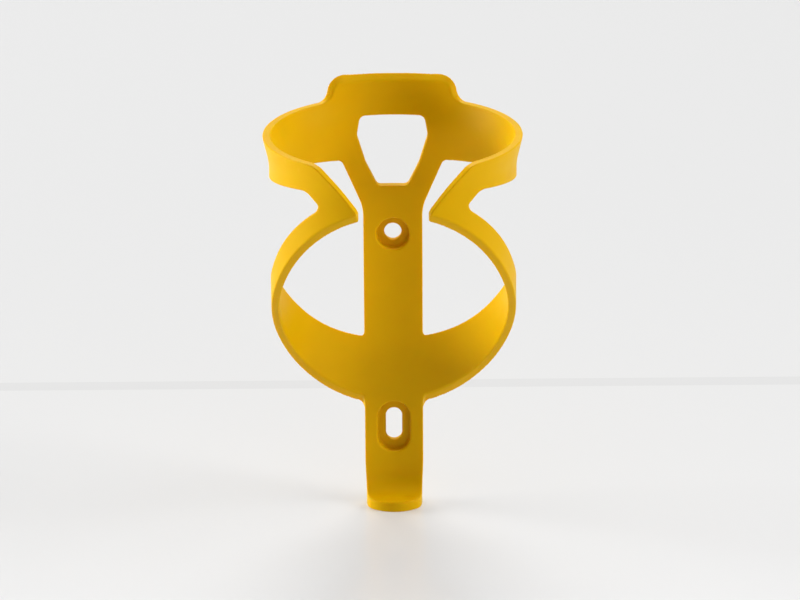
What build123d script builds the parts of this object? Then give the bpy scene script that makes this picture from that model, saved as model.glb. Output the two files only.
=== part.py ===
"""Bicycle bottle cage, moulded in one shot and cut here into named sections that meet face to face.

The cage is built round the bottle: x to the right, y to the rear, z up, with the bottle's axis at
x = y = 0 and the rim of the upper ring at z = 0. Before export everything moves so that the origin
is the centre of the upper bolt hole on the rear face that seats on the bicycle frame.
"""
import os
from math import cos, radians, sin

from build123d import *

# Driving dimensions in millimetres
BOLT_SPACING = 64.0        # centre to centre of the two frame bolts
BOTTLE_R = 34.7            # inner radius of the relaxed cage
WALL = 2.5
SPINE_WALL = 3.4
SPINE_HALF = 9.2           # half width of the spine
SEAT_Y = 39.6              # plane of the two seats that touch the frame
HOLE_Z = -42.95            # upper bolt hole below the rim

# Upper ring: a flared rim, and a lower edge that rises towards the front
FLARE = 1.9
FLARE_Z = -7.8
RIM_Z = 0.2                # rim at the bottle's axis
RIM_RISE = 0.015           # the rim is this much higher for each mm towards the rear
BAND_LOW_Z = -13.3         # lower edge at the bottle's axis
BAND_RISE = 0.145          # mm of rise for each mm towards the front

# Crown: the tab above the rim at the back
CROWN_TOP = 8.4
CROWN_DIP = 0.6            # the crown's top edge is this much lower in the middle
CROWN_BASE_X = 20.7
CROWN_CORNER_X = 19.0
CROWN_CORNER_R = 4.8
CROWN_LEAN = 0.6
CROWN_CHAMFER = 1.9
CROWN_CUT = 1.0            # the crown's own section starts just above the rim
CROWN_THINNING = 0.1       # the crown's wall is this much thinner at the top

# Lower ring, seen from the side as (y, z): two edges that climb from the back to the front
LOWER_TOP_EDGE = [(42.0, -83.7), (31.2, -73.6), (8.8, -51.2), (-5.5, -40.4), (-14.5, -31.0), (-42.0, -0.8)]
LOWER_BOTTOM_EDGE = [(42.0, -107.0), (9.5, -66.4), (-10.5, -44.5), (-29.4, -21.8), (-42.0, -6.6)]

# Front links, seen from the front as (x, z)
LINK_TOP_X = 21.1          # where the inner edge would meet the rim
LINK_TIP = (10.9, -12.85)
TIP_X = 10.2
TIP_BEVEL = 1.2            # height of the slant between the link's inner edge and its upright tip
LINK_OUTER_EDGE = [(29.6, -1.0), (26.6, -8.6), (22.2, -13.0), (22.2, -19.0)]
LINK_BOTTOM_Z = -24.0
LINK_CORNER_R = 1.5
TIP_R = 1.0
GAP_HALF = 29.1            # half width of the gap above the rim

# Window in the back of the upper ring, seen from the front as (x, z)
WINDOW = [(9.9, -4.6), (10.9, -10.5), (8.2, -19.5), (4.6, -27.2)]
WINDOW_RADII = [1.9, 4.0, 6.0, 1.8]

# Back plate with the struts beside the window: its right edge, seen from the front as (x, z)
BACK_PLATE_EDGE = [(19.8, -8.0), (17.6, -17.0), (16.1, -17.0), (9.2, -33.9), (9.2, -60.0)]

# Thick bar of the spine
SPINE_TOP = -24.0
HEEL_HEIGHT = 15.0         # the foot's own bar reaches this far above its underside

# Bolt holes and the recesses for the bolt heads
HOLE_R = 2.7
SLOT_LENGTH = 10.8
SLOT_R = 2.55
RECESS_R = 5.1
RECESS_DEPTH = 2.7
LOWER_RECESS_LENGTH = 16.8
SEAT_R = 7.0
LOWER_SEAT_LENGTH = 20.0

# Foot that carries the bottle
FOOT_TOP = -128.7
FOOT_THICK = 3.3
FOOT_REACH = 10.3
FOOT_HALF = 8.8
BEND_R = 6.0
HEEL_R = 5.0
FOOT_NOSE_R = 10.5
FOOT_BLOCK = 20.0          # height of the stock that the foot is cut from

# Section cuts
LINK_ANGLE = 140.5         # from the back of the ring round to the cut at each front link
STRUT_ANGLE = 28.5
CRADLE_ANGLE = 40.0
UPPER_SEAT_CUT = 9.0       # above and below the upper hole
LOWER_SEAT_CUT = (8.6, 12.0)
CRADLE_Z = -75.2           # the bar ends and the cradle's middle starts here
BAND_MARGIN = 0.5          # the bands' cut runs this far below their lower edge

REACH = 60.0               # larger than the cage in every direction
SLOT_Z = HOLE_Z - BOLT_SPACING
OUTER_R = BOTTLE_R + WALL
SPINE_R = BOTTLE_R + SPINE_WALL
FOOT_BOTTOM = FOOT_TOP - FOOT_THICK


def side_prism(face):
    """Solid with this outline in side view, right across the cage."""
    return extrude(face, amount=REACH, both=True)


def front_prism(face):
    """Solid with this outline in front view, from the bottle's axis forwards."""
    return extrude(face, amount=REACH)


def back_prism(face):
    """Solid with this outline in front view, from the bottle's axis to the rear."""
    return extrude(face, amount=-REACH)


def side_polygon(points):
    return Plane.YZ * make_face(Polyline(*points, close=True))


def front_polygon(points):
    return Plane.XZ * make_face(Polyline(*points, close=True))


def mirrored(points):
    """Close an outline by repeating its right half on the left."""
    return points + [(-x, z) for x, z in reversed(points)]


def rounded_outline(points, radii):
    """Symmetric outline in front view with its own radius at each right-hand corner."""
    outline = Polyline(*mirrored(points), close=True)
    face = make_face(outline)
    for (x, z), radius in zip(points, radii):
        for side in (1, -1):
            if radius:
                corner = face.vertices().sort_by_distance((side * x, z, 0))[0]
                face = fillet(corner, radius)
    return Plane.XZ * face


def slab(low, high):
    """Everything between two heights."""
    return Pos(0, 0, (low + high) / 2) * Box(2 * REACH, 2 * REACH, high - low)


def wedge(start, end):
    """Right-hand sector between two angles, counted from the back of the ring."""
    far = 2 * REACH
    steps = [start + (end - start) * i / 4 for i in range(5)]
    rim = [(far * sin(radians(a)), far * cos(radians(a))) for a in steps]
    face = make_face(Polyline((0, 0), *rim, close=True))
    return Pos(0, 0, -3 * REACH) * extrude(face, amount=4 * REACH)


def shell():
    """Round wall of the cage: straight below, flared at the rim, and nearly straight up the crown."""
    profile = Polyline(
        (BOTTLE_R, FOOT_TOP),
        (BOTTLE_R, FLARE_Z),
        (BOTTLE_R + FLARE, 0),
        (BOTTLE_R + FLARE + CROWN_LEAN, CROWN_TOP - CROWN_CHAMFER),
        (BOTTLE_R + FLARE + CROWN_LEAN + CROWN_CHAMFER, CROWN_TOP),
        (OUTER_R + FLARE + CROWN_LEAN - CROWN_THINNING, CROWN_TOP),
        (OUTER_R + FLARE, 0),
        (OUTER_R, FLARE_Z),
        (OUTER_R, FOOT_TOP),
        close=True,
    )
    return revolve(Plane.XZ * make_face(profile), Axis.Z)


def band_low(y):
    """Height of the upper ring's lower edge at a place along y."""
    return BAND_LOW_Z - BAND_RISE * y


def rim(y):
    """Height of the upper ring's rim at a place along y."""
    return RIM_Z + RIM_RISE * y


def upper_ring(wall):
    corners = [(-REACH, rim(-REACH)), (REACH, rim(REACH)),
               (REACH, band_low(REACH)), (-REACH, band_low(-REACH))]
    return wall & side_prism(side_polygon(corners))


def lower_ring(wall):
    top = Spline(*LOWER_TOP_EDGE)
    bottom = Spline(*LOWER_BOTTOM_EDGE)
    rear = Line(LOWER_TOP_EDGE[0], LOWER_BOTTOM_EDGE[0])
    front = Line(LOWER_TOP_EDGE[-1], LOWER_BOTTOM_EDGE[-1])
    zone = Plane.YZ * make_face(Curve() + [top, front, bottom, rear])
    return wall & side_prism(zone)


def above_lower_edge():
    """Everything above the lower ring's bottom edge."""
    bottom = Spline(*LOWER_BOTTOM_EDGE)
    first, last = LOWER_BOTTOM_EDGE[0], LOWER_BOTTOM_EDGE[-1]
    rest = Polyline(last, (last[0], REACH), (first[0], REACH), first)
    return side_prism(Plane.YZ * make_face(Curve() + [bottom, rest]))


def front_gap():
    """Opening between the two front links, wide at the rim and narrow at their tips."""
    points = [(GAP_HALF, REACH), (GAP_HALF, 0), (LINK_TOP_X, 0), LINK_TIP,
              (TIP_X, LINK_TIP[1] - TIP_BEVEL), (TIP_X, -REACH)]
    radii = [0, 0, LINK_CORNER_R, TIP_R, TIP_R, 0]
    return front_prism(rounded_outline(points, radii))


def link(wall):
    """Diagonal between the upper ring and the lower arm on the right."""
    points = [(LINK_TOP_X, 0), *LINK_OUTER_EDGE, (TIP_X, LINK_BOTTOM_Z), (TIP_X, LINK_TIP[1]), LINK_TIP]
    return wall & front_prism(front_polygon(points)) & above_lower_edge()


def crown(wall):
    """Tab above the rim at the back, with rounded shoulders and a slightly hollow top edge."""
    top = ThreePointArc((-CROWN_CORNER_X, CROWN_TOP), (0, CROWN_TOP - CROWN_DIP), (CROWN_CORNER_X, CROWN_TOP))
    sides = Polyline((CROWN_CORNER_X, CROWN_TOP), (CROWN_BASE_X, 0), (-CROWN_BASE_X, 0),
                     (-CROWN_CORNER_X, CROWN_TOP))
    face = make_face(Curve() + [top, sides])
    face = fillet(face.vertices().group_by(Axis.Y)[-1], CROWN_CORNER_R)
    return wall & back_prism(Plane.XZ * face)


def back_plate(wall):
    """Y-shaped plate behind the bottle, from the upper ring down to the spine."""
    return wall & back_prism(front_polygon(mirrored(BACK_PLATE_EDGE)))


def thick_spine():
    """Straight back bar, thicker than the rings, with the bottle's radius on its inner face."""
    bottom = FOOT_BOTTOM + HEEL_HEIGHT
    bar = Pos(0, 0, (SPINE_TOP + bottom) / 2) * Cylinder(SPINE_R, SPINE_TOP - bottom)
    return bar & back_prism(front_polygon(mirrored([(SPINE_HALF, SPINE_TOP), (SPINE_HALF, bottom)])))


def bottle_space():
    """Space that the bottle fills, with its rounded bottom edge."""
    bottle = Pos(0, 0, FOOT_TOP + REACH * 2) * Cylinder(BOTTLE_R, REACH * 4)
    return fillet(bottle.edges().sort_by(Axis.Z)[0], BEND_R)


def foot_plan():
    """Outline of the foot from above: straight sides and a bowed front edge."""
    front = BOTTLE_R - FOOT_REACH
    nose = Pos(0, front + FOOT_NOSE_R) * Circle(FOOT_NOSE_R)
    block = Pos(0, front + REACH / 2) * Rectangle(2 * FOOT_HALF, REACH)
    tip = nose & block
    behind = Pos(0, front + FOOT_NOSE_R + REACH / 2) * Rectangle(2 * SPINE_HALF, REACH)
    return Pos(0, 0, FOOT_BOTTOM - FOOT_BLOCK / 2) * extrude(tip + behind, amount=2 * FOOT_BLOCK)


def foot():
    """Turned-up end of the spine, reaching forward under the bottle."""
    body = Pos(0, 0, FOOT_BOTTOM + FOOT_BLOCK / 2) * Cylinder(SPINE_R, FOOT_BLOCK)
    body = fillet(body.edges().sort_by(Axis.Z)[0], HEEL_R)
    return (body & foot_plan()) - bottle_space()


def obround(width_r, length, near, far):
    """Rounded bar along y between two planes, standing tall in z."""
    face = Plane.XZ * (Rot(0, 0, 90) * SlotOverall(length, 2 * width_r)) if length > 2 * width_r \
        else Plane.XZ * Circle(width_r)
    return Pos(0, near, 0) * extrude(face, amount=near - far)


def seats():
    """Two pads that stand out behind the spine and touch the bicycle frame."""
    upper = Pos(0, 0, HOLE_Z) * obround(SEAT_R, 0, BOTTLE_R - 2, SEAT_Y)
    lower = Pos(0, 0, SLOT_Z) * obround(SEAT_R, LOWER_SEAT_LENGTH, BOTTLE_R - 2, SEAT_Y)
    return upper + lower


def bolt_cuts():
    """Round hole above, slot below, each at the bottom of a recess for the bolt head."""
    floor = BOTTLE_R + RECESS_DEPTH
    cuts = Pos(0, 0, HOLE_Z) * obround(RECESS_R, 0, 20, floor)
    cuts += Pos(0, 0, SLOT_Z) * obround(RECESS_R, LOWER_RECESS_LENGTH, 20, floor)
    cuts += Pos(0, 0, HOLE_Z) * obround(HOLE_R, 0, 20, REACH)
    cuts += Pos(0, 0, SLOT_Z) * obround(SLOT_R, SLOT_LENGTH, 20, REACH)
    return cuts


def window():
    return back_prism(rounded_outline(WINDOW, WINDOW_RADII))


def whole_cage():
    wall = shell()
    rings = upper_ring(wall) + lower_ring(wall) + link(wall) + mirror(link(wall), Plane.YZ)
    rings -= front_gap()
    back = crown(wall) + back_plate(wall) + thick_spine() + foot() + seats()
    body = rings + back
    body -= bottle_space() & slab(FOOT_TOP - 1, FLARE_Z)
    return body - window() - bolt_cuts()


def cut(body, tool):
    """Take the part of a body inside the tool, and give back that part and the rest."""
    return body & tool, body - tool


def sections(body):
    """Name every section of the cage, from the crown down to the foot."""
    parts = {}
    rear_half = Pos(0, REACH, 0) * Box(2 * REACH, 2 * REACH, 6 * REACH)
    spine_strip = Pos(0, REACH, 0) * Box(2 * SPINE_HALF, 2 * REACH, 6 * REACH)
    right = Pos(REACH, 0, 0) * Box(2 * REACH, 2 * REACH, 6 * REACH)
    window_top, window_bottom = WINDOW[0][1], WINDOW[-1][1]

    parts["crown_lip"], rest = cut(body, slab(CROWN_CUT, REACH))
    parts["foot"], rest = cut(rest, slab(-3 * REACH, SLOT_Z - LOWER_SEAT_CUT[1]))
    lower_seat = slab(SLOT_Z - LOWER_SEAT_CUT[1], SLOT_Z + LOWER_SEAT_CUT[0]) & spine_strip
    parts["lower_bolt_seat"], rest = cut(rest, lower_seat)
    upper_seat = slab(HOLE_Z - UPPER_SEAT_CUT, HOLE_Z + UPPER_SEAT_CUT) & rear_half & spine_strip
    parts["upper_bolt_seat"], rest = cut(rest, upper_seat)

    cradle_zone = wedge(0, CRADLE_ANGLE) + mirror(wedge(0, CRADLE_ANGLE), Plane.YZ)
    back_wedge = wedge(0, STRUT_ANGLE) + mirror(wedge(0, STRUT_ANGLE), Plane.YZ)
    low_zone = slab(-3 * REACH, HOLE_Z - UPPER_SEAT_CUT)
    spine_bar = low_zone & spine_strip & slab(CRADLE_Z, REACH)
    parts["spine_bar"], rest = cut(rest, spine_bar)
    parts["lower_cradle"], rest = cut(rest, low_zone & cradle_zone & rear_half)

    parts["crown_plate"], rest = cut(rest, slab(window_top, CROWN_CUT) & back_wedge)
    head = slab(HOLE_Z + UPPER_SEAT_CUT, window_bottom) & back_wedge
    parts["spine_head"], rest = cut(rest, head)
    strut_zone = slab(window_bottom, window_top) & back_wedge
    struts, rest = cut(rest, strut_zone)
    link_zone = wedge(LINK_ANGLE, 180) + mirror(wedge(LINK_ANGLE, 180), Plane.YZ)
    links, rest = cut(rest, link_zone)
    band_zone = side_prism(side_polygon([
        (-REACH, REACH), (REACH, REACH), (REACH, band_low(REACH) - BAND_MARGIN),
        (-REACH, band_low(-REACH) - BAND_MARGIN)]))
    bands, arms = cut(rest, band_zone)
    for name, pair in (("window_strut", struts), ("front_link", links), ("upper_band", bands),
                       ("lower_arm", arms)):
        parts[name + "_right"], parts[name + "_left"] = cut(pair, right)
    return parts


def main():
    os.makedirs("parts", exist_ok=True)
    to_mount = Pos(0, -SEAT_Y, -HOLE_Z)
    for name, section in sections(whole_cage()).items():
        export_step(to_mount * section, f"parts/{name}.step")


main()
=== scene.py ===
from math import cos, radians, sin, tan

import bpy
import numpy as np
from mathutils import Matrix, Vector


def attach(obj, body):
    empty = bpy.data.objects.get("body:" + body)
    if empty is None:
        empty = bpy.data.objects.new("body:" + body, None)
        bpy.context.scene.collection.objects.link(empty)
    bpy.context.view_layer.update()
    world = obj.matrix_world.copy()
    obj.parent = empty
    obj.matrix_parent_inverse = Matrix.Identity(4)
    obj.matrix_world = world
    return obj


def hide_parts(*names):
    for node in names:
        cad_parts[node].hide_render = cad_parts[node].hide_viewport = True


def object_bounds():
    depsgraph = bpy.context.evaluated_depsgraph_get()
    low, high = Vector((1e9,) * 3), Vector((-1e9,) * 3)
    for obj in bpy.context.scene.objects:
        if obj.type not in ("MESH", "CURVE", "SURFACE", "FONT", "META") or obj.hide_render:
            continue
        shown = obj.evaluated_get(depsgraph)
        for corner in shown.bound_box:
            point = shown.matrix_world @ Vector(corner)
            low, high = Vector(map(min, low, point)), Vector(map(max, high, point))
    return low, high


# Looks of the bicycle bottle cage: one seamless moulding, its plastic, a pale studio and the camera.
#
# The moulding is described in cage coordinates, in millimetres: x to the right, y to the rear, z up, with
# the bottle's axis at x = y = 0 and the rim of the upper ring at z = 0. Every shape is a depth: negative
# inside the plastic, zero on its surface and positive outside.

# Where the cage sits in the frame
SEAT_Y = 39.6
HOLE_Z = -42.95
BOLT_SPACING = 64.0

# Walls
BOTTLE_R = 34.7
WALL = 2.5
SPINE_EXTRA = 0.9          # the spine's wall is this much thicker than the rings
SPINE_HALF = 9.2
FLARE_Z = -7.8
FLARE_SLOPE = 0.2436       # the upper ring widens by this much for each mm up
CROWN_SLOPE_IN = 0.0923
CROWN_SLOPE_OUT = 0.0595
FLARE_SOFT = 2.4           # height over which a change of slope is spread
RIM_SOFT = 1.2

# Upper ring
RIM_Z = 0.2
RIM_RISE = 0.015
BAND_LOW_Z = -13.3
BAND_RISE = 0.145

# Lower ring, seen from the side as (y, z)
LOWER_TOP_EDGE = [(42.0, -83.7), (31.2, -73.6), (8.8, -51.2), (-5.5, -40.4), (-14.5, -31.0), (-42.0, -0.8)]
LOWER_BOTTOM_EDGE = [(42.0, -107.0), (9.5, -66.4), (-10.5, -44.5), (-29.4, -21.8), (-42.0, -6.6)]

# Outlines seen from the front: the right half as (x, z, corner radius)
FAR = 60.0
CROWN = [(0.0, 7.8, 0), (10.0, 7.97, 0), (19.0, 8.4, 4.8), (20.7, 0.0, 0), (21.9, -6.0, 0)]
BACK_PLATE = [(19.8, -8.0, 0), (17.6, -17.0, 0), (16.1, -17.0, 0), (9.2, -33.9, 15.0), (9.2, -FAR, 0)]
WINDOW = [(9.9, -4.6, 1.9), (10.9, -10.5, 4.0), (8.2, -19.5, 6.0), (4.6, -27.2, 1.8)]
LINK = [(28.8, -3.0, 0), (26.6, -8.6, 0), (22.2, -13.0, 1.5), (22.2, -19.0, 0), (10.0, -27.0, 0)]
FRONT_GAP = [(58.7, 47.2, 0), (10.9, -12.85, 1.0), (10.2, -14.05, 1.0), (10.2, -FAR, 0)]
CROWN_CHAMFER = 1.9

# Bolt holes, their recesses and the pads behind them
HOLE_R = 2.7
SLOT_R = 2.55
SLOT_LENGTH = 10.8
RECESS_R = 5.1
RECESS_DEPTH = 2.7
LOWER_RECESS_LENGTH = 16.8
PAD_R = 7.0
LOWER_PAD_LENGTH = 20.0

# Foot
FOOT_TOP = -128.7
FOOT_THICK = 3.3
FOOT_REACH = 10.3
FOOT_HALF = 8.8
FOOT_NOSE_R = 10.5
BEND_R = 6.0
HEEL_R = 5.0

# Edges of the moulding
CRISP = 0.4                # edges left by the mould's parting faces
SOFT = 0.7                 # rounded outer top edge of the lower ring
CREASE = 0.35              # its bottom edge
INNER_CORNER = 1.2         # fillets where rings, struts and spine run into each other
CROWN_CORNER = 2.6
GAP_CORNER = 1.5
GAP_CORNER_Z = (-9.0, -4.0)
CHAMFER_EDGE = 0.25        # rounding along the crown's chamfer
NOSE_EDGE = 1.5            # rounding where the foot's sides meet its nose
LINK_FILLET = 1.0
PAD_FILLET = 0.8
RECESS_EDGE = 0.6
HOLE_EDGE = 0.3

# Where one shape gives way to the next
FOOT_TAPER = 12            # height over which the spine narrows to the foot's width
THICK_Z = (-20, -30)       # the spine thickens between these heights
THICK_SIDE = 1.6           # and beside it the extra thickness fades over this width
EDGE_BLEND = 3             # either side of the lower ring's middle, its top edge becomes its bottom edge
RING_BLEND = (2, 6)        # below the upper band, the lower ring's edges take over between these
RING_FADE_Y = (26, 20)     # and towards the spine they fade out between these
PAD_ROOT = 2               # how far the pads reach into the wall

# Mesh
PITCH = 0.38
COARSE = 4                 # the first look at the surface takes every fourth grid point
NEAR = 2.4                 # mm: within this of the surface, depths are worked out in full
RELAXING = 2
PROJECTIONS = 2
MOST_TRIANGLES = 190_000
PROBE = 0.02               # step of the numerical slope
TABLE_STEP = 0.2
LEAST_STEEPNESS = 0.2      # keeps the move onto the surface from overshooting where the depth is flat
LEAST_LENGTH = 0.1         # keeps a flat spot from dividing by nothing
PULL = 0.5                 # share of the way to its neighbours' mean that a point moves

# Studio, in metres
STAGE = 12.0
JOINT = (0.0987, 0.1066)    # near and far edges of the floor's joint
LIGHT_DISTANCE = 2.2


def round_and(a, b, radius):
    """What two bodies share, with a rounded edge where their surfaces cross."""
    corner = np.hypot(np.maximum(a + radius, 0), np.maximum(b + radius, 0))
    return np.minimum(np.maximum(a, b), -radius) + corner


def round_or(a, b, radius):
    """Two bodies together, with a fillet in the corner between them."""
    return -round_and(-a, -b, radius)


def soft_ramp(t, width):
    """Zero below t = 0 and t above it, with the bend spread over a width each side."""
    bend = (t + width) ** 2 / (4 * width)
    return np.where(t < -width, 0, np.where(t > width, t, bend))


def smooth_step(low, high, t):
    """Rises from 0 at low to 1 at high, level at both ends."""
    s = np.clip((t - low) / (high - low), 0, 1)
    return s * s * (3 - 2 * s)


def arc_corner(before, corner, after, radius, steps=8):
    """Points of the arc that rounds one corner of an outline."""
    a, c, b = (np.array(p[:2]) for p in (before, corner, after))
    u = (a - c) / np.linalg.norm(a - c)
    v = (b - c) / np.linalg.norm(b - c)
    half = np.arccos(np.clip(u @ v, -1, 1)) / 2
    centre = c + (u + v) / np.linalg.norm(u + v) * radius / sin(half)
    start, end = c + u * radius / tan(half), c + v * radius / tan(half)
    spread = np.linspace(0, 1, steps + 1)[:, None]
    chord = start * (1 - spread) + end * spread - centre
    return centre + chord / np.linalg.norm(chord, axis=1)[:, None] * radius


def full_outline(half):
    """Closed outline from its right half, with its corners rounded."""
    points = [*half, *((-x, z, r) for x, z, r in reversed(half) if x > 0)]
    outline = []
    for i, point in enumerate(points):
        if point[2]:
            outline.extend(arc_corner(points[i - 1], point, points[(i + 1) % len(points)], point[2]))
        else:
            outline.append(np.array(point[:2]))
    return outline


def outline_depth(x, z, outline):
    """Depth inside a closed outline in the front view."""
    nearest, inside = FAR ** 2, False
    for (ax, az), (bx, bz) in zip(outline, outline[1:] + outline[:1]):
        ex, ez = bx - ax, bz - az
        t = np.clip(((x - ax) * ex + (z - az) * ez) / (ex * ex + ez * ez), 0, 1)
        nearest = np.minimum(nearest, (x - ax - ex * t) ** 2 + (z - az - ez * t) ** 2)
        if ez:
            inside = inside ^ (((az <= z) != (bz <= z)) & (x < ax + ex * (z - az) / ez))
    return np.where(inside, -1, 1) * np.sqrt(nearest)


def natural_slopes(t, values):
    """Second derivatives of the natural cubic through the values."""
    n = len(t)
    system, right = np.eye(n), np.zeros(n)
    for i in range(1, n - 1):
        before, after = t[i] - t[i - 1], t[i + 1] - t[i]
        system[i, i - 1:i + 2] = before, 2 * (before + after), after
        right[i] = 6 * ((values[i + 1] - values[i]) / after - (values[i] - values[i - 1]) / before)
    return np.linalg.solve(system, right)


def smooth_line(points, steps=40):
    """Dense points of a smooth line through the given ones, in order of y."""
    points = np.array(points)
    t = np.concatenate([[0], np.cumsum(np.linalg.norm(np.diff(points, axis=0), axis=1))])
    at = np.linspace(0, t[-1], steps * len(t))
    i = np.clip(np.searchsorted(t, at) - 1, 0, len(t) - 2)
    span = t[i + 1] - t[i]
    a, b = (t[i + 1] - at) / span, (at - t[i]) / span
    line = []
    for values in points.T:
        curve = natural_slopes(t, values)
        bend = ((a ** 3 - a) * curve[i] + (b ** 3 - b) * curve[i + 1]) * span ** 2 / 6
        line.append(a * values[i] + b * values[i + 1] + bend)
    return np.array(line)[:, ::-1]


class OutlineTable:
    """An outline's depths on a fine grid, read back by bilinear interpolation."""

    def __init__(self, half):
        x = np.arange(-FAR, FAR * 1.0001, TABLE_STEP)
        self.z_low = -3 * FAR
        z = np.arange(self.z_low, FAR * 1.0001, TABLE_STEP)
        self.values = outline_depth(x[:, None], z[None, :], full_outline(half))

    def __call__(self, x, z):
        u = np.clip((x + FAR) / TABLE_STEP, 0, self.values.shape[0] - 1.001)
        v = np.clip((z - self.z_low) / TABLE_STEP, 0, self.values.shape[1] - 1.001)
        i, j = u.astype(int), v.astype(int)
        u, v = u - i, v - j
        near = self.values[i, j] * (1 - v) + self.values[i, j + 1] * v
        far = self.values[i + 1, j] * (1 - v) + self.values[i + 1, j + 1] * v
        return near * (1 - u) + far * u


EDGE_LINES = {"top": smooth_line(LOWER_TOP_EDGE), "bottom": smooth_line(LOWER_BOTTOM_EDGE)}
HALVES = {"crown": CROWN, "plate": BACK_PLATE, "window": WINDOW, "link": LINK, "gap": FRONT_GAP}
OUTLINES = {name: OutlineTable(half) for name, half in HALVES.items()}


def above_line(y, z, name):
    """Signed distance above one of the lower ring's edges, in the side view."""
    line_y, line_z = EDGE_LINES[name]
    slope = np.interp(y, line_y, np.gradient(line_z, line_y))
    return (z - np.interp(y, line_y, line_z)) / np.hypot(1, slope)


def obround(x, z, radius, length):
    """Depth inside an upright slot outline."""
    return np.hypot(x, np.maximum(np.abs(z) - (length / 2 - radius), 0)) - radius


def front_half(shape, y):
    """The part of a shape in front of the bottle's axis."""
    return np.maximum(shape, y)


def rear_half(shape, y):
    """The part of a shape behind the bottle's axis."""
    return np.maximum(shape, -y)


def outlines_together(x, y, z, inner):
    """The outlines of rings, links, crown, plate and spine, joined with fillets, through any wall."""
    band = np.maximum(z - RIM_Z - RIM_RISE * y, BAND_LOW_Z - BAND_RISE * y - z)
    link = front_half(OUTLINES["link"](x, z), y)
    plate = rear_half(OUTLINES["plate"](x, z), y)
    crown = OUTLINES["crown"](x, z)
    chamfer = (crown + inner + CROWN_CHAMFER) / np.sqrt(2)
    crown = rear_half(round_and(crown, chamfer, CHAMFER_EDGE), y)

    nose = np.hypot(x, np.minimum(y - (BOTTLE_R - FOOT_REACH + FOOT_NOSE_R), 0)) - FOOT_NOSE_R
    half = FOOT_HALF + (SPINE_HALF - FOOT_HALF) * smooth_step(FOOT_TOP, FOOT_TOP + FOOT_TAPER, z)
    spine = round_and(np.abs(x) - half, nose, NOSE_EDGE)
    spine = rear_half(np.maximum(spine, z - HOLE_Z), y)

    lower = above_line(y, z, "top")
    front_parts = round_or(lower, link, LINK_FILLET)
    lower_ring = np.maximum(front_parts, -above_line(y, z, "bottom"))
    joined = round_or(lower_ring, np.minimum(plate, spine), INNER_CORNER)
    upper = round_or(band, crown, CROWN_CORNER)
    return round_or(upper, joined, INNER_CORNER)


def cage_depth(x, y, z):
    """Depth inside the whole moulding."""
    r = np.hypot(x, y)
    flare = FLARE_SLOPE * soft_ramp(z - FLARE_Z, FLARE_SOFT)
    inner_lean = flare + (CROWN_SLOPE_IN - FLARE_SLOPE) * soft_ramp(z, RIM_SOFT)
    outer_lean = flare + (CROWN_SLOPE_OUT - FLARE_SLOPE) * soft_ramp(z, RIM_SOFT)
    inner = BOTTLE_R + inner_lean - r
    zone = outlines_together(x, y, z, inner)

    gap = front_half(OUTLINES["gap"](x * BOTTLE_R / np.maximum(r, 1), z), y)
    corner = CRISP + (GAP_CORNER - CRISP) * smooth_step(*GAP_CORNER_Z, z)
    zone = round_and(zone, -gap, corner)
    zone = np.maximum(zone, -rear_half(OUTLINES["window"](x, z), y))

    thick = smooth_step(*THICK_Z, z) * smooth_step(SPINE_HALF + THICK_SIDE, SPINE_HALF, np.abs(x))
    outer = r - BOTTLE_R - WALL - outer_lean - SPINE_EXTRA * np.where(y > 0, thick, 0)
    outer = round_and(outer, FOOT_TOP - FOOT_THICK - z, HEEL_R)
    bottle = round_and(-inner, FOOT_TOP - z, BEND_R)

    off_middle = above_line(y, z, "top") + above_line(y, z, "bottom")
    near_bottom = smooth_step(-EDGE_BLEND, EDGE_BLEND, off_middle)
    lower_edge = SOFT + (CREASE - SOFT) * (1 - near_bottom)
    below_band = BAND_LOW_Z - BAND_RISE * y - z
    on_lower_ring = smooth_step(*RING_BLEND, below_band) * smooth_step(*RING_FADE_Y, y)
    outer_edge = CRISP + (lower_edge - CRISP) * on_lower_ring
    body = round_and(outer, zone, outer_edge)

    upper_z, lower_z = z - HOLE_Z, z - HOLE_Z + BOLT_SPACING
    for height, length in ((upper_z, 2 * PAD_R), (lower_z, LOWER_PAD_LENGTH)):
        pad = round_and(obround(x, height, PAD_R, length), y - SEAT_Y, CRISP)
        body = round_or(body, np.maximum(pad, BOTTLE_R - PAD_ROOT - y), PAD_FILLET)

    body = round_and(body, -bottle, CRISP)

    floor = y - BOTTLE_R - RECESS_DEPTH
    holes = ((upper_z, RECESS_R, 2 * RECESS_R, HOLE_R, 2 * HOLE_R),
             (lower_z, RECESS_R, LOWER_RECESS_LENGTH, SLOT_R, SLOT_LENGTH))
    for height, recess_r, recess_length, hole_r, hole_length in holes:
        recess = round_and(obround(x, height, recess_r, recess_length), rear_half(floor, y), RECESS_EDGE)
        body = round_and(body, -recess, RECESS_EDGE)
        body = round_and(body, -rear_half(obround(x, height, hole_r, hole_length), y), HOLE_EDGE)
    return body


def slope(points):
    """Direction of steepest increase of the depth at each point."""
    columns = []
    for axis in range(3):
        step = np.zeros(3)
        step[axis] = PROBE
        columns.append((cage_depth(*(points + step).T) - cage_depth(*(points - step).T)) / (2 * PROBE))
    return np.array(columns).T


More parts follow.
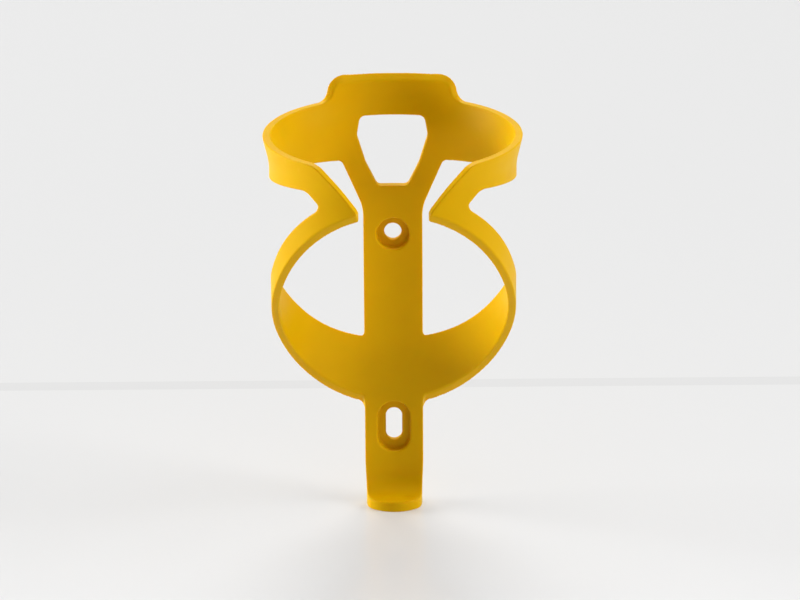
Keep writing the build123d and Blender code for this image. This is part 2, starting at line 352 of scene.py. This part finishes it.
def net(depth, low):
    """Quads of the zero surface of a grid of depths: one vertex in each cell that the surface crosses."""
    inside = depth < 0
    cells = tuple(n - 1 for n in depth.shape)
    count = np.zeros(cells, np.int8)
    corners = [(i, j, k) for i in (0, 1) for j in (0, 1) for k in (0, 1)]
    for i, j, k in corners:
        count += inside[i:cells[0] + i, j:cells[1] + j, k:cells[2] + k]
    active = (count > 0) & (count < 8)
    where = np.argwhere(active)
    number = np.full(cells, -1, np.int32)
    number[active] = np.arange(len(where))

    total, hits = np.zeros((len(where), 3)), np.zeros(len(where))
    quads = []
    for axis in range(3):
        along = np.eye(3, dtype=int)[axis]
        side, other = (np.eye(3, dtype=int)[(axis + n) % 3] for n in (1, 2))
        for offset in (0 * side, side, other, side + other):
            start = depth[tuple((where + offset).T)]
            end = depth[tuple((where + offset + along).T)]
            cross = (start < 0) != (end < 0)
            part = start[cross] / (start[cross] - end[cross])
            total[cross] += offset + along * part[:, None]
            hits[cross] += 1

        size = [slice(1, -1)] * 3
        size[axis] = slice(0, -1)
        shifted = list(size)
        shifted[axis] = slice(1, None)
        first, second = inside[tuple(size)], inside[tuple(shifted)]
        edges = np.argwhere(first != second) + 1 - along
        quad = np.array([number[tuple((edges - o).T)] for o in (0 * side, side, side + other, other)]).T
        leaving = inside[tuple(edges.T)]
        quads.append(np.where(leaving[:, None], quad, quad[:, ::-1]))
    return low + PITCH * (where + total / hits[:, None]), np.concatenate(quads)


def settle(points):
    """Move points onto the surface."""
    for _ in range(PROJECTIONS):
        steep = slope(points)
        size = np.maximum((steep ** 2).sum(1), LEAST_STEEPNESS)
        move = -cage_depth(*points.T) / size
        points = points + steep * np.clip(move, -PITCH / 2, PITCH / 2)[:, None]
    return points


def relaxed(points, quads):
    """Even out the quads along the surface."""
    edges = np.concatenate([quads[:, [i, (i + 1) % 4]] for i in range(4)])
    degree = np.bincount(edges[:, 0], minlength=len(points))
    for _ in range(RELAXING):
        sums = [np.bincount(edges[:, 0], column[edges[:, 1]], len(points)) for column in points.T]
        pull = np.array(sums).T / degree[:, None] - points
        normal = slope(points)
        normal /= np.maximum(np.linalg.norm(normal, axis=1), LEAST_LENGTH)[:, None]
        pull -= normal * (pull * normal).sum(1)[:, None]
        points = settle(points + PULL * pull)
    return points


def sampled(low, high):
    """Depths on a grid: exact near the surface, and only of the right sign elsewhere."""
    counts = COARSE * np.ceil((high - low) / PITCH / COARSE).astype(int)
    step = PITCH * COARSE
    x, y, z = (low[i] + step * (np.arange(counts[i] // COARSE) + 0.5) for i in range(3))
    coarse = cage_depth(x[:, None, None], y[None, :, None], z[None, None, :])
    depth = coarse.repeat(COARSE, 0).repeat(COARSE, 1).repeat(COARSE, 2)
    near = np.abs(depth) < NEAR
    depth[near] = cage_depth(*(low + PITCH * np.argwhere(near)).T)
    return depth


def lightened(points, quads):
    """The same surface with fewer, larger triangles where it is flat."""
    mesh = bpy.data.meshes.new("dense")
    mesh.from_pydata(points / 1000, [], quads.tolist())
    dense = bpy.data.objects.new("dense", mesh)
    bpy.context.collection.objects.link(dense)
    fewer = dense.modifiers.new("fewer", "DECIMATE")
    fewer.ratio = min(1, MOST_TRIANGLES / (2 * len(quads)))
    light = dense.evaluated_get(bpy.context.evaluated_depsgraph_get()).to_mesh()
    places = np.zeros(3 * len(light.vertices))
    light.vertices.foreach_get("co", places)
    faces = [tuple(face.vertices) for face in light.polygons]
    bpy.data.objects.remove(dense)
    bpy.data.meshes.remove(mesh)
    return 1000 * places.reshape(-1, 3), faces


def moulding(bounds):
    """The seamless cage as a mesh object in metres."""
    to_cage = np.array([0, SEAT_Y, HOLE_Z])
    low, high = (1000 * np.array(corner) + to_cage for corner in bounds)
    low, high = low - 2.5 * PITCH, high + 2.5 * PITCH
    points, quads = net(sampled(low, high), low)
    points = relaxed(settle(points), quads)
    points, faces = lightened(points, quads)
    points = settle(points)

    mesh = bpy.data.meshes.new("cage_moulding")
    mesh.from_pydata((points - to_cage) / 1000, [], faces)
    mesh.polygons.foreach_set("use_smooth", np.ones(len(faces), bool))
    normals = slope(points)
    normals /= np.maximum(np.linalg.norm(normals, axis=1), LEAST_LENGTH)[:, None]
    mesh.normals_split_custom_set_from_vertices(normals)
    mesh.update()
    piece = bpy.data.objects.new("cage_moulding", mesh)
    bpy.context.collection.objects.link(piece)
    return piece


def new_material(name):
    """A material with its nodes and links at hand."""
    material = bpy.data.materials.new(name)
    material.use_nodes = True
    return material, material.node_tree.nodes, material.node_tree.links


def noise(nodes, links, coordinates, scale, detail):
    """Noise fixed to the object."""
    texture = nodes.new("ShaderNodeTexNoise")
    texture.inputs["Scale"].default_value = scale
    texture.inputs["Detail"].default_value = detail
    links.new(coordinates.outputs["Object"], texture.inputs["Vector"])
    return texture.outputs["Fac"]


def mapped(nodes, links, value, low, high):
    """A noise value spread between two limits."""
    node = nodes.new("ShaderNodeMapRange")
    node.inputs["From Min"].default_value = 0.3
    node.inputs["From Max"].default_value = 0.7
    node.inputs["To Min"].default_value = low
    node.inputs["To Max"].default_value = high
    links.new(value, node.inputs["Value"])
    return node.outputs["Result"]


def cage_plastic():
    """Satin moulded plastic: fine grain, slow drift in colour, and a painted highlight that lightens its
    convex edges.
    """
    material, nodes, links = new_material("cage_plastic")
    shader = nodes["Principled BSDF"]
    coordinates = nodes.new("ShaderNodeTexCoord")

    drift = noise(nodes, links, coordinates, 45, 3)
    colour = nodes.new("ShaderNodeMix")
    colour.data_type = "RGBA"
    colour.inputs[6].default_value = (0.71, 0.400, 0.0, 1)
    colour.inputs[7].default_value = (0.76, 0.435, 0.0, 1)
    links.new(mapped(nodes, links, drift, 0, 1), colour.inputs[0])

    # Painted highlight: convex edges, picked out by their pointiness, are mixed towards a paler yellow.
    edges = nodes.new("ShaderNodeNewGeometry")
    edge_highlight = nodes.new("ShaderNodeMapRange")
    edge_highlight.inputs["From Min"].default_value = 0.53
    edge_highlight.inputs["From Max"].default_value = 0.62
    edge_highlight.inputs["To Max"].default_value = 0.12
    links.new(edges.outputs["Pointiness"], edge_highlight.inputs["Value"])
    highlighted_colour = nodes.new("ShaderNodeMix")
    highlighted_colour.data_type = "RGBA"
    highlighted_colour.inputs[7].default_value = (0.88, 0.56, 0.05, 1)
    links.new(edge_highlight.outputs["Result"], highlighted_colour.inputs[0])
    links.new(colour.outputs[2], highlighted_colour.inputs[6])
    links.new(highlighted_colour.outputs[2], shader.inputs["Base Color"])

    patches = noise(nodes, links, coordinates, 260, 4)
    links.new(mapped(nodes, links, patches, 0.40, 0.48), shader.inputs["Roughness"])
    shader.inputs["IOR"].default_value = 1.46
    shader.inputs["Specular IOR Level"].default_value = 0.06
    shader.inputs["Subsurface Weight"].default_value = 0.25
    shader.inputs["Subsurface Radius"].default_value = (1.0, 0.35, 0.05)
    shader.inputs["Subsurface Scale"].default_value = 0.0025

    grain = noise(nodes, links, coordinates, 3800, 2)
    bump = nodes.new("ShaderNodeBump")
    bump.inputs["Strength"].default_value = 0.12
    bump.inputs["Distance"].default_value = 0.00004
    links.new(grain, bump.inputs["Height"])
    links.new(bump.outputs["Normal"], shader.inputs["Normal"])
    return material


def stage_material(name, shade, roughness, glow):
    """Smooth grey paint that glows faintly white."""
    material, nodes, links = new_material(name)
    shader = nodes["Principled BSDF"]
    coordinates = nodes.new("ShaderNodeTexCoord")
    drift = noise(nodes, links, coordinates, 1.5, 2)
    colour = nodes.new("ShaderNodeMix")
    colour.data_type = "RGBA"
    colour.inputs[6].default_value = (shade * 0.995,) * 3 + (1,)
    colour.inputs[7].default_value = (shade,) * 3 + (1,)
    links.new(drift, colour.inputs[0])
    links.new(colour.outputs[2], shader.inputs["Base Color"])
    shader.inputs["Roughness"].default_value = roughness
    shader.inputs["Emission Color"].default_value = (1, 1, 1, 1)
    shader.inputs["Emission Strength"].default_value = glow
    return material


def sheet(name, corners, material):
    """A flat stage surface."""
    mesh = bpy.data.meshes.new(name)
    mesh.from_pydata(corners, [], [(0, 1, 2, 3)])
    mesh.materials.append(material)
    piece = bpy.data.objects.new(name, mesh)
    bpy.context.collection.objects.link(piece)
    return piece


def studio(floor_z):
    """A wide, faintly glowing floor, crossed behind the cage by a slightly darker joint."""
    paint = stage_material("floor_paint", 0.50, 0.22, 0.27)
    joint = stage_material("joint_paint", 0.47, 0.22, 0.25)
    strips = (("floor_front", -STAGE, JOINT[0], paint),
              ("floor_joint", JOINT[0], JOINT[1], joint),
              ("floor_back", JOINT[1], STAGE, paint))
    for name, near, far, material in strips:
        corners = ((-STAGE, near), (STAGE, near), (STAGE, far), (-STAGE, far))
        sheet(name, [(x, y, floor_z) for x, y in corners], material)


def soft_light(name, azimuth, elevation, width, height, power):
    """Softbox aimed at the cage; its size and power are those of the same light at one metre."""
    middle = Vector((0, -0.04, -0.02))
    a, e = radians(azimuth), radians(elevation)
    place = middle + LIGHT_DISTANCE * Vector((sin(a) * cos(e), -cos(a) * cos(e), sin(e)))
    light = bpy.data.lights.new(name, "AREA")
    light.shape = "RECTANGLE"
    light.size, light.size_y = LIGHT_DISTANCE * width, LIGHT_DISTANCE * height
    light.energy = LIGHT_DISTANCE ** 2 * power
    lamp = bpy.data.objects.new(name, light)
    lamp.location = place
    lamp.rotation_euler = (middle - place).to_track_quat("-Z", "Y").to_euler()
    lamp.visible_camera = False
    bpy.context.collection.objects.link(lamp)


def lighting():
    """The softboxes, and a pale surround that only the camera sees."""
    soft_light("left_softbox", -100, 5, 0.50, 0.60, 17.6)
    soft_light("right_low", 80, 10, 0.50, 0.70, 3.8)
    soft_light("right_high", 80, 35, 0.50, 0.70, 4.5)
    soft_light("front_fill", 25, 8, 0.45, 0.50, 1.3)
    soft_light("back_overhead", 180, 45, 0.80, 0.60, 8.7)
    soft_light("top", -20, 80, 0.90, 0.90, 2.2)
    world = bpy.data.worlds.new("studio_air")
    world.use_nodes = True
    world.node_tree.nodes["Background"].inputs["Color"].default_value = (0.84, 0.84, 0.84, 1)
    seen = world.cycles_visibility
    seen.diffuse = seen.glossy = seen.transmission = seen.scatter = False
    bpy.context.scene.world = world


def camera(rim_centre):
    """Long lens, a little above the cage, turned so that the view's middle is just below its hole."""
    azimuth, elevation, roll = radians(0.3), radians(19.0), radians(0.35)
    distance, aside, below, lens = 1.240, 0.00222, 0.04984, 186.2
    level_right = Vector((cos(azimuth), -sin(azimuth), 0))
    ahead = Vector((sin(azimuth), cos(azimuth), 0))
    forward = ahead * cos(elevation) - Vector((0, 0, sin(elevation)))
    level_up = ahead * sin(elevation) + Vector((0, 0, cos(elevation)))
    right = level_right * cos(roll) - level_up * sin(roll)
    up = level_right * sin(roll) + level_up * cos(roll)
    place = rim_centre + right * aside - up * below - forward * distance

    data = bpy.data.cameras.new("camera")
    data.lens, data.sensor_width = lens, 36.0
    data.clip_start, data.clip_end = 0.05, 50.0
    view = bpy.data.objects.new("camera", data)
    view.matrix_world = Matrix((right, up, -forward)).transposed().to_4x4()
    view.matrix_world.translation = place
    bpy.context.collection.objects.link(view)
    bpy.context.scene.camera = view


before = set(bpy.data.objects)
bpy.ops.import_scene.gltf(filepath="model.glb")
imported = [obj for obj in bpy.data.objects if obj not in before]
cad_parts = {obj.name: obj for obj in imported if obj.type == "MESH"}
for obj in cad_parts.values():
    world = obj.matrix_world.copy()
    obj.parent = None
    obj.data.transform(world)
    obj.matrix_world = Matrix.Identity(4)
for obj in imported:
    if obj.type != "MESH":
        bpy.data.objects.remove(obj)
cad_box = [list(corner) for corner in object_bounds()]
cage = moulding(cad_box)
cage.data.materials.append(cage_plastic())
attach(cage, "root")
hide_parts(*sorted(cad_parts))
studio(cad_box[0][2])
lighting()
camera(Vector((0, -SEAT_Y / 1000, -HOLE_Z / 1000)))
bpy.context.scene.view_settings.view_transform = "Standard"
